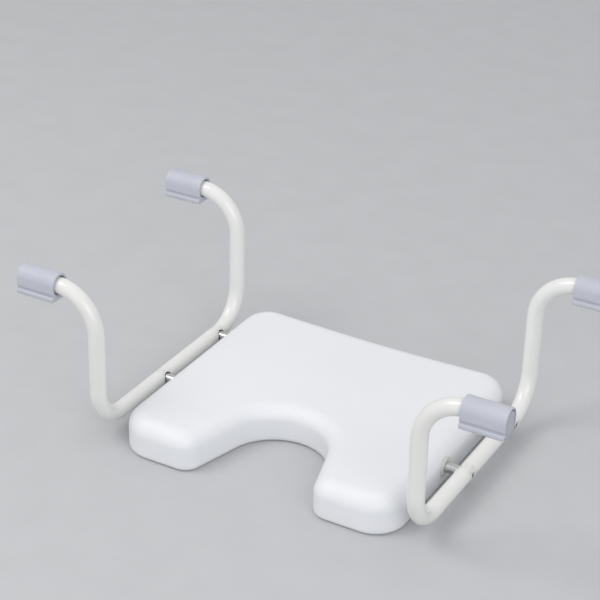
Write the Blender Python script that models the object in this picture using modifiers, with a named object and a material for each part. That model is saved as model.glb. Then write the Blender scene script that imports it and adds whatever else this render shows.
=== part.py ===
"""Rim-hung bath seat: two bent-tube hangers carry a moulded horseshoe seat across a bath.

World axes: +X to the user's left when seated facing the cut-out, +Z up, the hygiene cut-out
opens towards -Y. The underside of the seat lies on Z = 0. Dimensions are in metres.
"""
import math

import bmesh
import bpy
from mathutils import Matrix, Vector

MM = 0.001
GAP = 0.3 * MM                 # clearance between neighbouring pieces

# Hanger tube
TUBE_RADIUS = 12.5 * MM
TUBE_WALL = 1.5 * MM
RISER_X = 260 * MM             # riser and rail centre line from the middle of the bath
RISER_Y = 197 * MM
AXIS_Z = 30 * MM               # height of the rail and of the slide rods
HANG_DROP = 219 * MM           # rim stub centre line above the rail centre line
TOP_BEND = 66 * MM
LOW_BEND = 60 * MM
BEND_STEPS = 6
STUB_Z = AXIS_Z + HANG_DROP
TUBE_END_X = 380 * MM

# Seat moulding
SEAT_HALF_WIDTH = 227.5 * MM
SEAT_FRONT_Y = -202 * MM
SEAT_BACK_Y = 213 * MM
SEAT_TOP_Z = 62 * MM
SEAT_ROUNDING = 26 * MM
SEAT_WALL = 4 * MM
SEAT_DISH = 5 * MM             # how far the middle of the top sinks below its sides
FOOT_ROUNDING = 8 * MM         # round along the bottom edge
FOOT_OVERLAP = 0.3 * MM        # how far the round is drawn outside the side wall
FOOT_LIP = 11.5 * MM             # width of the turned-in lip around the underside
FOOT_LIP_HEIGHT = 7.7 * MM
BACK_CORNER = 45 * MM
FRONT_CORNER = 50 * MM
HORN_CORNER = 28 * MM
HORN_CENTRE_X = 123 * MM
CUTOUT_RADIUS = 78 * MM
CUTOUT_CENTRE_Y = -127 * MM
CUTOUT_FLARE = 17              # degrees
RIB_X = (-191 * MM, -95 * MM, 0.0, 95 * MM, 191 * MM)
RIB_THICKNESS = 4 * MM
RIB_FOOT_Z = 27 * MM
BOSS_RADIUS = 5.5 * MM
BASE_THICKNESS = 4 * MM
SCREW_RECESS = 1.6 * MM        # depth of the recess around each base screw head
DRAIN_RADIUS = 3 * MM
DRAIN_POINTS = ((-60, 90), (60, 90), (-110, -85), (110, -85))

# Width adjustment
ROD_RADIUS = 8 * MM
ROD_INNER_END_X = 58 * MM
ROD_OUTER_END_X = 267 * MM
ROD_HOLE_RADIUS = 9.6 * MM
ROD_Y = {"front": -28 * MM, "back": 130 * MM}
SLIDE_SIDES = 20               # facets shared by the rods and the bores they run in
GUIDE_RADIUS = 10 * MM
GUIDE_BORE = ROD_RADIUS + 0.1 * MM
GUIDE_HALF_LENGTH = 218 * MM
BUSH_RADIUS = 12 * MM
BUSH_FLANGE = 15 * MM
SCREW_RADIUS = 3 * MM
SCREW_HEAD_RADIUS = 4.9 * MM
SCREW_FACE_X = 271.6 * MM      # flat of the countersunk head, sunk in the rail's outer wall
SADDLE_RADIUS = 6.5 * MM

# Clamp screws under the seat
CLAMP_X = 150 * MM
WELL_RADIUS = 20.5 * MM
WELL_WALL = 3.5 * MM
WELL_CEILING_Z = 12 * MM
CUP_TOP_Z = AXIS_Z - GUIDE_RADIUS - GAP
KNOB_RADIUS = 15 * MM
KNOB_LOBE = 1.3 * MM
KNOB_BOTTOM_Z = 3.5 * MM
KNOB_HEIGHT = 8 * MM
THREAD_RADIUS = 4 * MM
PAD_RADIUS = 3.8 * MM

# Rim grips
GRIP_INNER_X = 321 * MM
GRIP_OUTER_X = 386 * MM
GRIP_HALF_WIDTH = 17.5 * MM
GRIP_ARCH_RISE = 1.5 * MM      # arch centre above the tube centre line
GRIP_BASE_DROP = 22.5 * MM     # underside below the tube centre line
GRIP_FLANGE_HALF = 20 * MM
GRIP_FLANGE_DROP = 13.8 * MM
GRIP_MOUTH_RADIUS = 14.6 * MM

ENDS = ("front", "back")
SIDES = {"left": -1, "right": 1}
BASE_SCREW_POINTS = ((-180, -160), (180, -160), (-180, 50), (180, 50),
                     (-180, 188), (180, 188), (-50, 55), (50, 55))


def clear_scene():
    """Remove whatever the scene holds before building."""
    for old in list(bpy.data.objects):
        bpy.data.objects.remove(old, do_unlink=True)


def new_collection(name):
    """Return a collection linked to the scene."""
    group = bpy.data.collections.new(name)
    bpy.context.scene.collection.children.link(group)
    return group


def finish(name, colour, roughness, metallic=0.0):
    """Return a Principled material for one sub-part."""
    mat = bpy.data.materials.new(name)
    mat.use_nodes = True
    shader = mat.node_tree.nodes["Principled BSDF"]
    shader.inputs["Base Color"].default_value = (*colour, 1.0)
    shader.inputs["Roughness"].default_value = roughness
    shader.inputs["Metallic"].default_value = metallic
    mat.diffuse_color = (*colour, 1.0)
    return mat


class Shop:
    """Holds the two collections that every maker function adds to."""

    def __init__(self):
        self.parts = new_collection("rim_hung_bath_seat")
        self.cutters = new_collection("cutters")

    def add(self, name, mesh, look=None, place=(0, 0, 0), turn=(0, 0, 0)):
        """Add a mesh as a finished part, or as a cutter when it has no look."""
        thing = bpy.data.objects.new(name, mesh)
        thing.location = place
        thing.rotation_euler = turn
        if look is None:
            self.cutters.objects.link(thing)
            thing.hide_render = True
            thing.display_type = 'WIRE'
        else:
            self.parts.objects.link(thing)
            mesh.materials.clear()
            mesh.materials.append(finish(name, *look))
        return thing


EPOXY = ((0.88, 0.88, 0.85), 0.22)
SEAT_PLASTIC = ((0.80, 0.82, 0.86), 0.42)
BASE_PLASTIC = ((0.62, 0.64, 0.68), 0.50)
GRIP_PLASTIC = ((0.48, 0.50, 0.60), 0.48)
STEEL = ((0.74, 0.74, 0.74), 0.16, 1.0)
BRASS = ((0.72, 0.55, 0.28), 0.30, 1.0)
NYLON = ((0.70, 0.70, 0.68), 0.45)
KNOB_PLASTIC = ((0.30, 0.32, 0.38), 0.45)


def arc(centre, radius, start, end, steps):
    """Return points on a plan arc; angles in degrees."""
    points = []
    for k in range(steps + 1):
        angle = math.radians(start + (end - start) * k / steps)
        points.append((centre[0] + radius * math.cos(angle), centre[1] + radius * math.sin(angle)))
    return points


def seat_outline(inset, steps=5):
    """Return the horseshoe plan, drawn inwards by an inset, anticlockwise from the right horn."""
    back_x = SEAT_HALF_WIDTH - BACK_CORNER
    back_y = SEAT_BACK_Y - BACK_CORNER
    front_x = SEAT_HALF_WIDTH - FRONT_CORNER
    front_y = SEAT_FRONT_Y + FRONT_CORNER
    horn_y = SEAT_FRONT_Y + HORN_CORNER
    flare = CUTOUT_FLARE
    points = arc((front_x, front_y), FRONT_CORNER - inset, -90, 0, steps)
    points += arc((back_x, back_y), BACK_CORNER - inset, 0, 90, steps)
    points += arc((-back_x, back_y), BACK_CORNER - inset, 90, 180, steps)
    points += arc((-front_x, front_y), FRONT_CORNER - inset, 180, 270, steps)
    points += arc((-HORN_CENTRE_X, horn_y), HORN_CORNER - inset, 270, 360 - flare, steps)
    points += arc((0, CUTOUT_CENTRE_Y), CUTOUT_RADIUS + inset, 180 - flare, flare, 2 * steps)
    points += arc((HORN_CENTRE_X, horn_y), HORN_CORNER - inset, 180 + flare, 270, steps)
    return points


def as_mesh(curve, name):
    """Turn a curve into a welded mesh and remove the curve."""
    holder = bpy.data.objects.new(name + "_curve", curve)
    bpy.context.scene.collection.objects.link(holder)
    bpy.context.view_layer.update()
    evaluated = holder.evaluated_get(bpy.context.evaluated_depsgraph_get())
    mesh = bpy.data.meshes.new_from_object(evaluated)
    mesh.name = name
    bpy.data.objects.remove(holder, do_unlink=True)
    work = bmesh.new()
    work.from_mesh(mesh)
    bmesh.ops.remove_doubles(work, verts=work.verts, dist=0.00002)
    bmesh.ops.recalc_face_normals(work, faces=work.faces)
    work.to_mesh(mesh)
    work.free()
    return mesh


def plate_mesh(name, outline, depth, rounding=0.0, rings=3):
    """Fill a plan outline and give it a thickness (centred on Z = 0) with rounded edges."""
    curve = bpy.data.curves.new(name, 'CURVE')
    curve.dimensions = '2D'
    curve.fill_mode = 'BOTH'
    curve.extrude = depth / 2 - rounding
    curve.bevel_depth = rounding
    curve.bevel_resolution = rings
    curve.render_resolution_u = 0
    line = curve.splines.new('POLY')
    line.points.add(len(outline) - 1)
    for point, (x, y) in zip(line.points, outline):
        point.co = (x, y, 0, 1)
    line.use_cyclic_u = True
    return as_mesh(curve, name)


def tube_mesh(name, path, radius):
    """Sweep a circle along a path and leave the ends open."""
    curve = bpy.data.curves.new(name, 'CURVE')
    curve.dimensions = '3D'
    curve.bevel_depth = radius
    curve.bevel_resolution = 5
    curve.use_fill_caps = False
    curve.render_resolution_u = 0
    line = curve.splines.new('POLY')
    line.points.add(len(path) - 1)
    for point, place in zip(line.points, path):
        point.co = (*place, 1)
    return as_mesh(curve, name)


def rod_mesh(name, radius, length, sides=24):
    """Return a cylinder whose foot is on Z = 0."""
    mesh = bpy.data.meshes.new(name)
    work = bmesh.new()
    bmesh.ops.create_cone(work, cap_ends=True, segments=sides, radius1=radius, radius2=radius, depth=length)
    bmesh.ops.translate(work, verts=work.verts, vec=(0, 0, length / 2))
    work.to_mesh(mesh)
    work.free()
    return mesh


def box_mesh(name, low, high):
    """Return a box between two corners."""
    mesh = bpy.data.meshes.new(name)
    work = bmesh.new()
    bmesh.ops.create_cube(work, size=1.0)
    size = [b - a for a, b in zip(low, high)]
    middle = [(a + b) / 2 for a, b in zip(low, high)]
    bmesh.ops.scale(work, vec=size, verts=work.verts)
    bmesh.ops.translate(work, vec=middle, verts=work.verts)
    work.to_mesh(mesh)
    work.free()
    return mesh


def turned_mesh(name, profile):
    """Return the mesh of a lathe profile; each point is (radius, height), running downwards."""
    mesh = bpy.data.meshes.new(name)
    mesh.from_pydata([(r, 0, z) for r, z in profile], [(k, k + 1) for k in range(len(profile) - 1)], [])
    return mesh


def spin(thing, steps=24):
    """Turn a lathe profile about its own Z axis."""
    screw = thing.modifiers.new("lathe", 'SCREW')
    screw.axis = 'Z'
    screw.steps = steps
    screw.render_steps = steps
    screw.use_merge_vertices = True
    screw.merge_threshold = 0.00001
    screw.use_smooth_shade = False


def shape(thing, other, operation='DIFFERENCE'):
    """Cut, join or intersect a thing with another one."""
    step = thing.modifiers.new(operation.lower(), 'BOOLEAN')
    step.operation = operation
    step.solver = 'EXACT'
    step.object = other


def outward(side):
    """Rotation that lays a lathe axis along X, pointing away from the middle of the bath."""
    return (0, math.radians(90) * side, 0)


def dish(mesh, columns):
    """Let the top of a seat-shaped solid sink gently towards the middle of its width."""
    work = bmesh.new()
    work.from_mesh(mesh)
    for k in range(1, columns):
        x = SEAT_HALF_WIDTH * (2 * k / columns - 1)
        everything = work.verts[:] + work.edges[:] + work.faces[:]
        bmesh.ops.bisect_plane(work, geom=everything, plane_co=(x, 0, 0), plane_no=(1, 0, 0), dist=0.0002)
    top = max(vert.co.z for vert in work.verts)
    for vert in work.verts:
        across = min(1.0, abs(vert.co.x) / SEAT_HALF_WIDTH)
        share = max(0.0, min(1.0, (vert.co.z - top + SEAT_ROUNDING) / SEAT_ROUNDING))
        vert.co.z -= SEAT_DISH * share * (1 - across ** 2) ** 2
    work.to_mesh(mesh)
    work.free()


def seat_solid(name, inset, rings, columns):
    """Return the rounded seat body, drawn inwards by an inset, reaching below Z = 0."""
    rounding = SEAT_ROUNDING - inset
    depth = 2 * (SEAT_TOP_Z - inset) - 2 * (SEAT_TOP_Z - SEAT_ROUNDING) + 2 * 18 * MM
    mesh = plate_mesh(name, seat_outline(SEAT_ROUNDING), depth, rounding, rings)
    mesh.transform(lift(SEAT_TOP_Z - inset - depth / 2))
    dish(mesh, columns)
    return mesh


def lift(height):
    """Return a matrix that raises a mesh."""
    return Matrix.Translation((0, 0, height))


def add_foot(shop):
    """Return the tall plate whose rounded bottom edge shapes the foot of the seat."""
    inset = FOOT_ROUNDING - FOOT_OVERLAP
    depth = 2 * SEAT_TOP_Z
    plate = plate_mesh("foot", seat_outline(inset), depth, FOOT_ROUNDING, 2)
    plate.transform(lift(depth / 2))
    return shop.add("foot", plate)


def add_lip(shop):
    """Return the slab that closes the hollow to a turned-in lip at the foot of the seat."""
    slab = shop.add("lip", box_mesh("lip", (-0.35, -0.35, -0.1), (0.35, 0.35, FOOT_LIP_HEIGHT)))
    mouth = plate_mesh("lip_mouth", seat_outline(FOOT_LIP), 0.5)
    shape(slab, shop.add("lip_mouth", mouth))
    return slab


def add_cavity(shop):
    """Return the cutter for the hollow under the seat skin, with lip, ribs and bosses left out."""
    hollow = shop.add("cavity", seat_solid("cavity", SEAT_WALL, 1, 4))
    shape(hollow, add_lip(shop))
    for k, x in enumerate(RIB_X):
        low = (x - RIB_THICKNESS / 2, -0.3, RIB_FOOT_Z)
        high = (x + RIB_THICKNESS / 2, 0.3, 0.2)
        shape(hollow, shop.add(f"rib_{k}", box_mesh(f"rib_{k}", low, high)))
    for k, (x, y) in enumerate(BASE_SCREW_POINTS):
        boss = rod_mesh(f"boss_{k}", BOSS_RADIUS, 0.2, 8)
        shape(hollow, shop.add(f"boss_{k}", boss, None, (x * MM, y * MM, BASE_THICKNESS + GAP)))
    return hollow


def add_seat_shell(shop):
    """Add the moulded top of the seat."""
    shell = shop.add("seat_shell", seat_solid("seat_shell", 0.0, 2, 8), SEAT_PLASTIC)
    ground = shop.add("below_seat", box_mesh("below_seat", (-0.4, -0.4, -0.2), (0.4, 0.4, 0.0)))
    shape(shell, ground)
    shape(shell, add_foot(shop), 'INTERSECT')
    for end, y in ROD_Y.items():
        seating = rod_mesh(f"guide_seat_{end}", GUIDE_RADIUS + GAP, 2 * (GUIDE_HALF_LENGTH + GAP), 24)
        start = (-GUIDE_HALF_LENGTH - GAP, y, AXIS_Z)
        shape(shell, shop.add(f"guide_seat_{end}", seating, None, start, outward(1)))
        for side, sign in SIDES.items():
            hole = rod_mesh(f"bush_hole_{side}_{end}", BUSH_RADIUS + GAP, 0.03, 24)
            start = (sign * (GUIDE_HALF_LENGTH - 4 * MM), y, AXIS_Z)
            shape(shell, shop.add(f"bush_hole_{side}_{end}", hole, None, start, outward(sign)))
    shape(shell, add_cavity(shop))
    for k, (x, y) in enumerate(BASE_SCREW_POINTS):
        pilot = rod_mesh(f"pilot_{k}", 2.1 * MM, 14 * MM, 8)
        shape(shell, shop.add(f"pilot_{k}", pilot, None, (x * MM, y * MM, 1 * MM)))


def add_seat_base(shop):
    """Add the underside plate with its four clamp cups."""
    flat = plate_mesh("seat_base", seat_outline(FOOT_LIP + GAP), BASE_THICKNESS)
    flat.transform(lift(BASE_THICKNESS / 2))
    base = shop.add("seat_base", flat, BASE_PLASTIC)
    places = [(f"{side}_{end}", sign * CLAMP_X, y)
              for side, sign in SIDES.items() for end, y in ROD_Y.items()]
    for tag, x, y in places:
        cup = rod_mesh(f"cup_{tag}", WELL_RADIUS + WELL_WALL, CUP_TOP_Z - 2 * MM, 24)
        shape(base, shop.add(f"cup_{tag}", cup, None, (x, y, 2 * MM)), 'UNION')
    for tag, x, y in places:
        well = rod_mesh(f"well_{tag}", WELL_RADIUS, WELL_CEILING_Z + 5 * MM, 24)
        shape(base, shop.add(f"well_{tag}", well, None, (x, y, -5 * MM)))
        seat = rod_mesh(f"insert_hole_{tag}", 7.3 * MM, 20 * MM, 16)
        shape(base, shop.add(f"insert_hole_{tag}", seat, None, (x, y, 5 * MM)))
        ledge = rod_mesh(f"insert_ledge_{tag}", 9.3 * MM, 20 * MM, 16)
        shape(base, shop.add(f"insert_ledge_{tag}", ledge, None, (x, y, CUP_TOP_Z - 2 * MM)))
    for k, (x, y) in enumerate(BASE_SCREW_POINTS):
        hole = rod_mesh(f"base_hole_{k}", 2.4 * MM, 10 * MM, 8)
        shape(base, shop.add(f"base_hole_{k}", hole, None, (x * MM, y * MM, -2 * MM)))
        recess = rod_mesh(f"base_recess_{k}", 4.4 * MM, 5 * MM, 10)
        shape(base, shop.add(f"base_recess_{k}", recess, None, (x * MM, y * MM, SCREW_RECESS - 5 * MM)))
    for k, (x, y) in enumerate(DRAIN_POINTS):
        hole = rod_mesh(f"drain_{k}", DRAIN_RADIUS, 10 * MM, 8)
        shape(base, shop.add(f"drain_{k}", hole, None, (x * MM, y * MM, -2 * MM)))


def add_base_screws(shop):
    """Add the screws that hold the underside plate to the bosses."""
    top = 13 * MM
    face = SCREW_RECESS - GAP
    profile = ((0, top), (1.8 * MM, top), (1.8 * MM, face), (4 * MM, face), (3.6 * MM, 0.4 * MM),
               (1.4 * MM, 0.4 * MM), (1.4 * MM, 1 * MM), (0, 1 * MM))
    for k, (x, y) in enumerate(BASE_SCREW_POINTS, start=1):
        screw = shop.add(f"base_screw_{k}", turned_mesh(f"base_screw_{k}", profile), STEEL, (x * MM, y * MM, 0))
        spin(screw, 8)


def add_guides(shop):
    """Add the two tubes that run across the seat and guide the rods."""
    half = GUIDE_HALF_LENGTH
    profile = ((GUIDE_BORE, 2 * half), (GUIDE_RADIUS, 2 * half), (GUIDE_RADIUS, 0), (GUIDE_BORE, 0),
               (GUIDE_BORE, 2 * half))
    for end, y in ROD_Y.items():
        name = f"guide_tube_{end}"
        guide = shop.add(name, turned_mesh(name, profile), STEEL, (-half, y, AXIS_Z), outward(1))
        spin(guide, SLIDE_SIDES)
        for side, sign in SIDES.items():
            hole = rod_mesh(f"pad_hole_{side}_{end}", PAD_RADIUS + 0.5 * MM, 10 * MM, 12)
            place = (sign * CLAMP_X, y, AXIS_Z - 15 * MM)
            shape(guide, shop.add(f"pad_hole_{side}_{end}", hole, None, place))


def add_bush(shop, tag, sign, y):
    """Add the plastic bush that carries a rod through the side of the seat."""
    start = GUIDE_HALF_LENGTH + GAP
    face = SEAT_HALF_WIDTH + GAP
    lip = 2 * MM
    profile = ((GUIDE_BORE, face + lip), (BUSH_FLANGE - 0.8 * MM, face + lip), (BUSH_FLANGE, face + lip - 0.8 * MM),
               (BUSH_FLANGE, face), (BUSH_RADIUS, face), (BUSH_RADIUS, start), (GUIDE_BORE, start),
               (GUIDE_BORE, face + lip))
    name = f"guide_bush_{tag}"
    spin(shop.add(name, turned_mesh(name, profile), NYLON, (0, y, AXIS_Z), outward(sign)), SLIDE_SIDES)


def add_rod(shop, tag, sign, y):
    """Add a slide rod with its tapped outer end."""
    bore = SCREW_RADIUS + 0.1 * MM
    end = ROD_OUTER_END_X
    profile = ((0, end - 15 * MM), (bore, end - 15 * MM), (bore, end), (ROD_RADIUS - 0.8 * MM, end),
               (ROD_RADIUS, end - 0.8 * MM), (ROD_RADIUS, ROD_INNER_END_X + 1 * MM),
               (ROD_RADIUS - 1 * MM, ROD_INNER_END_X), (0, ROD_INNER_END_X))
    name = f"slide_rod_{tag}"
    spin(shop.add(name, turned_mesh(name, profile), STEEL, (0, y, AXIS_Z), outward(sign)), SLIDE_SIDES)


def add_rod_fixing(shop, tag, sign, y):
    """Add the saddle inside the rail and the countersunk screw that draw a rod tight."""
    name = f"saddle_washer_{tag}"
    low = ROD_OUTER_END_X + GAP
    high = RISER_X + TUBE_RADIUS
    bore = SCREW_RADIUS + GAP
    cone = SCREW_FACE_X - (SCREW_HEAD_RADIUS - SCREW_RADIUS)
    profile = ((bore, cone), (bore + high - cone, high), (SADDLE_RADIUS + 1 * MM, high), (SADDLE_RADIUS, low),
               (bore, low), (bore, cone))
    saddle = shop.add(name, turned_mesh(name, profile), NYLON, (0, y, AXIS_Z), outward(sign))
    spin(saddle, 20)
    rail = rod_mesh(f"rail_bed_{tag}", TUBE_RADIUS - TUBE_WALL - 2 * GAP, 0.06, 28)
    bed = shop.add(f"rail_bed_{tag}", rail, None, (sign * RISER_X, y + 0.03, AXIS_Z), (math.radians(90), 0, 0))
    shape(saddle, bed, 'INTERSECT')
    name = f"rod_screw_{tag}"
    socket = 2 * MM
    face = SCREW_FACE_X
    tip = ROD_OUTER_END_X - 13 * MM
    profile = ((0, face - 2 * MM), (socket, face - 2 * MM), (socket, face), (SCREW_HEAD_RADIUS, face),
               (SCREW_RADIUS, cone), (SCREW_RADIUS, tip), (0, tip - 0.5 * MM))
    spin(shop.add(name, turned_mesh(name, profile), STEEL, (0, y, AXIS_Z), outward(sign)), 20)


def hanger_path(sign):
    """Return the centre line of one hanger, from the front rim stub to the back one."""
    half = [Vector((sign * TUBE_END_X, -RISER_Y, STUB_Z))]
    bend_x = RISER_X + TOP_BEND
    for x, z in arc((bend_x, STUB_Z - TOP_BEND), TOP_BEND, 90, 180, BEND_STEPS):
        half.append(Vector((sign * x, -RISER_Y, z)))
    for y, z in arc((-RISER_Y + LOW_BEND, AXIS_Z + LOW_BEND), LOW_BEND, 180, 270, BEND_STEPS):
        half.append(Vector((sign * RISER_X, y, z)))
    return half + [Vector((p.x, -p.y, p.z)) for p in reversed(half)]


def add_hanger(shop, side, sign):
    """Add one bent-tube hanger with its rod and screw holes."""
    name = f"hanger_frame_{side}"
    frame = shop.add(name, tube_mesh(name, hanger_path(sign), TUBE_RADIUS), EPOXY)
    wall = frame.modifiers.new("wall", 'SOLIDIFY')
    wall.thickness = TUBE_WALL
    wall.offset = -1
    wall.use_even_offset = True
    for end, y in ROD_Y.items():
        wide = rod_mesh(f"rod_hole_{side}_{end}", ROD_HOLE_RADIUS, 20 * MM, 24)
        start = (sign * (RISER_X - 22 * MM), y, AXIS_Z)
        shape(frame, shop.add(f"rod_hole_{side}_{end}", wide, None, start, outward(sign)))
        bore = SCREW_RADIUS + GAP
        cone = SCREW_FACE_X - (SCREW_HEAD_RADIUS - SCREW_RADIUS)
        wide = bore + RISER_X + 16 * MM - cone
        sink = f"screw_hole_{side}_{end}"
        profile = ((0, RISER_X + 16 * MM), (wide, RISER_X + 16 * MM), (bore, cone), (bore, RISER_X + 4 * MM),
                   (0, RISER_X + 4 * MM))
        hole = shop.add(sink, turned_mesh(sink, profile), None, (0, y, AXIS_Z), outward(sign))
        spin(hole, 20)
        shape(frame, hole)


def add_plug(shop, tag, sign, y):
    """Add the plastic plug that closes a tube end."""
    bore = TUBE_RADIUS - TUBE_WALL - 2 * GAP
    face = TUBE_END_X + GAP
    profile = ((0, face + 2 * MM), (TUBE_RADIUS - 0.5 * MM, face + 2 * MM), (TUBE_RADIUS - 0.5 * MM, face),
               (bore, face), (bore, face - 14 * MM), (bore - 2 * MM, face - 14 * MM), (bore - 2 * MM, face),
               (0, face))
    name = f"tube_plug_{tag}"
    spin(shop.add(name, turned_mesh(name, profile), KNOB_PLASTIC, (0, y, STUB_Z), outward(sign)), 14)


def grip_outline():
    """Return the arch-shaped section of a rim grip, wide lip at the foot; (across, up)."""
    groove = 2 * MM
    points = arc((0, GRIP_ARCH_RISE), GRIP_HALF_WIDTH, 0, 180, 16)
    left = ((-GRIP_HALF_WIDTH, -GRIP_FLANGE_DROP + 3 * MM), (-GRIP_HALF_WIDTH + groove, -GRIP_FLANGE_DROP + 1 * MM),
            (-GRIP_HALF_WIDTH + groove, -GRIP_FLANGE_DROP), (-GRIP_FLANGE_HALF + 1.5 * MM, -GRIP_FLANGE_DROP),
            (-GRIP_FLANGE_HALF, -GRIP_FLANGE_DROP - 1.5 * MM), (-GRIP_FLANGE_HALF, -GRIP_BASE_DROP + 1.2 * MM),
            (-GRIP_FLANGE_HALF + 1.2 * MM, -GRIP_BASE_DROP))
    points += left
    points += [(-x, z) for x, z in reversed(left)]
    return points


def add_grip(shop, tag, sign, y):
    """Add the soft grip that sits on the bath rim around one tube end."""
    name = f"rim_grip_{tag}"
    length = GRIP_OUTER_X - GRIP_INNER_X
    mesh = plate_mesh(name, grip_outline(), length)
    place = (sign * (GRIP_INNER_X + GRIP_OUTER_X) / 2, y, STUB_Z)
    stand = (math.radians(90), 0, math.radians(90))
    grip = shop.add(name, mesh, GRIP_PLASTIC, place, stand)
    edge = grip.modifiers.new("soft_edge", 'BEVEL')
    edge.width = 1.2 * MM
    edge.segments = 1
    edge.limit_method = 'ANGLE'
    edge.angle_limit = math.radians(60)
    bore = rod_mesh(f"grip_bore_{tag}", TUBE_RADIUS + GAP, 0.1, 24)
    bottom = (sign * (TUBE_END_X + 2.6 * MM + GAP), y, STUB_Z)
    shape(grip, shop.add(f"grip_bore_{tag}", bore, None, bottom, outward(-sign)))
    mouth = rod_mesh(f"grip_mouth_{tag}", GRIP_MOUTH_RADIUS, 0.02, 24)
    start = (sign * (GRIP_INNER_X + 7 * MM), y, STUB_Z)
    shape(grip, shop.add(f"grip_mouth_{tag}", mouth, None, start, outward(-sign)))


def knob_outline():
    """Return the lobed rim of a clamp knob."""
    lobes = 8
    steps = 40
    points = []
    for k in range(steps):
        angle = 2 * math.pi * k / steps
        radius = KNOB_RADIUS + KNOB_LOBE * math.cos(lobes * angle)
        points.append((radius * math.cos(angle), radius * math.sin(angle)))
    return points


def add_clamp(shop, tag, x, y):
    """Add the thread insert, the knob and the nylon pad that lock one rod."""
    name = f"thread_insert_{tag}"
    bore = THREAD_RADIUS + 0.1 * MM
    high = CUP_TOP_Z - 0.4 * MM
    low = WELL_CEILING_Z + 0.2 * MM
    profile = ((bore, high), (9 * MM, high), (9 * MM, high - 1.3 * MM), (7 * MM, high - 1.3 * MM), (7 * MM, low),
               (bore, low), (bore, high))
    spin(shop.add(name, turned_mesh(name, profile), BRASS, (x, y, 0)), 24)
    name = f"clamp_knob_{tag}"
    head = plate_mesh(name, knob_outline(), KNOB_HEIGHT)
    head.transform(lift(KNOB_HEIGHT / 2))
    knob = shop.add(name, head, KNOB_PLASTIC, (x, y, KNOB_BOTTOM_Z))
    stem_length = CUP_TOP_Z - KNOB_BOTTOM_Z - 2 * MM
    stem = rod_mesh(f"knob_stem_{tag}", THREAD_RADIUS, stem_length, 24)
    shape(knob, shop.add(f"knob_stem_{tag}", stem, None, (x, y, KNOB_BOTTOM_Z + 2 * MM)), 'UNION')
    name = f"clamp_pad_{tag}"
    foot = CUP_TOP_Z + GAP
    top = AXIS_Z - ROD_RADIUS - GAP
    pad = rod_mesh(name, PAD_RADIUS, top - foot, 12)
    shop.add(name, pad, NYLON, (x, y, foot))


def build():
    """Build the whole seat."""
    clear_scene()
    shop = Shop()
    add_seat_shell(shop)
    add_seat_base(shop)
    add_base_screws(shop)
    add_guides(shop)
    for side, sign in SIDES.items():
        add_hanger(shop, side, sign)
        for end, y in ROD_Y.items():
            tag = f"{side}_{end}"
            add_bush(shop, tag, sign, y)
            add_rod(shop, tag, sign, y)
            add_rod_fixing(shop, tag, sign, y)
            add_clamp(shop, tag, sign * CLAMP_X, y)
        for end, way in zip(ENDS, (-1, 1)):
            tag = f"{side}_{end}"
            add_plug(shop, tag, sign, way * RISER_Y)
            add_grip(shop, tag, sign, way * RISER_Y)


build()
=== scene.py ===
"""Looks of a rim-hung bath seat: a moulded horseshoe seat slung between two bent-tube hangers."""
import logging
import math
from dataclasses import dataclass, field
from enum import Enum
from functools import cached_property
from typing import Sequence

import bmesh
import bpy
import numpy as np
from mathutils import Matrix, Vector, geometry


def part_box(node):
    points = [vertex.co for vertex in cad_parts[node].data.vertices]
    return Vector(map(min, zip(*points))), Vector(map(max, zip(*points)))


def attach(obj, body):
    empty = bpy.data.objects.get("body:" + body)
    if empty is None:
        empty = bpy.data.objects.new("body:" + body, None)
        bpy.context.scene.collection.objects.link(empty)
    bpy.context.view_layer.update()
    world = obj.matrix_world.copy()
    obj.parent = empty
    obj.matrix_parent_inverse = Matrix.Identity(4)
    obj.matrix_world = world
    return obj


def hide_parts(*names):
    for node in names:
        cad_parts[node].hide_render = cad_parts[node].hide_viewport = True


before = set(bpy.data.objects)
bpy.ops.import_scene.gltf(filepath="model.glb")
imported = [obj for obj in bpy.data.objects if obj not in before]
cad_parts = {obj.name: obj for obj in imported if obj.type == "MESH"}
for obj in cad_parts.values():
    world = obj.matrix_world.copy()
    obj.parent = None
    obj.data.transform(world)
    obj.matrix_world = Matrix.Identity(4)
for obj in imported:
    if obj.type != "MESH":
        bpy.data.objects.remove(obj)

log = logging.getLogger("bath_seat")
MM = 0.001
Colour = tuple[float, float, float]
UP = Vector((0, 0, 1))
BAR_SIDES = 14
CORNER_STEPS = 4
SEAM_WIDTH = 0.02 * MM
WELD_WIDTH = 0.002 * MM


class Placed(Enum):
    """A place in the layout, told by a sign and a word."""

    @property
    def word(self) -> str:
        """The place as it appears in node and body names."""
        return self.name.lower()


class Side(Placed):
    """Which hanger a piece belongs to; the value is its sign along X."""

    LEFT = -1
    RIGHT = 1

    @property
    def out(self) -> Vector:
        """Direction away from the middle of the bath."""
        return Vector((self.value, 0, 0))


class End(Placed):
    """Front is the cut-out end; the value is its sign along Y."""

    FRONT = -1
    BACK = 1


TAGS = [f"{side.word}_{end.word}" for side in Side for end in End]


def middle(node: str) -> Vector:
    """Return the centre of a CAD node's box."""
    low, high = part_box(node)
    return (low + high) / 2


def reach(node: str) -> tuple[float, float]:
    """Return how far a CAD node's near and far faces lie from the middle of the bath."""
    low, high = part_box(node)
    return tuple(sorted((abs(low.x), abs(high.x))))


# ---------------------------------------------------------------- node graphs


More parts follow.
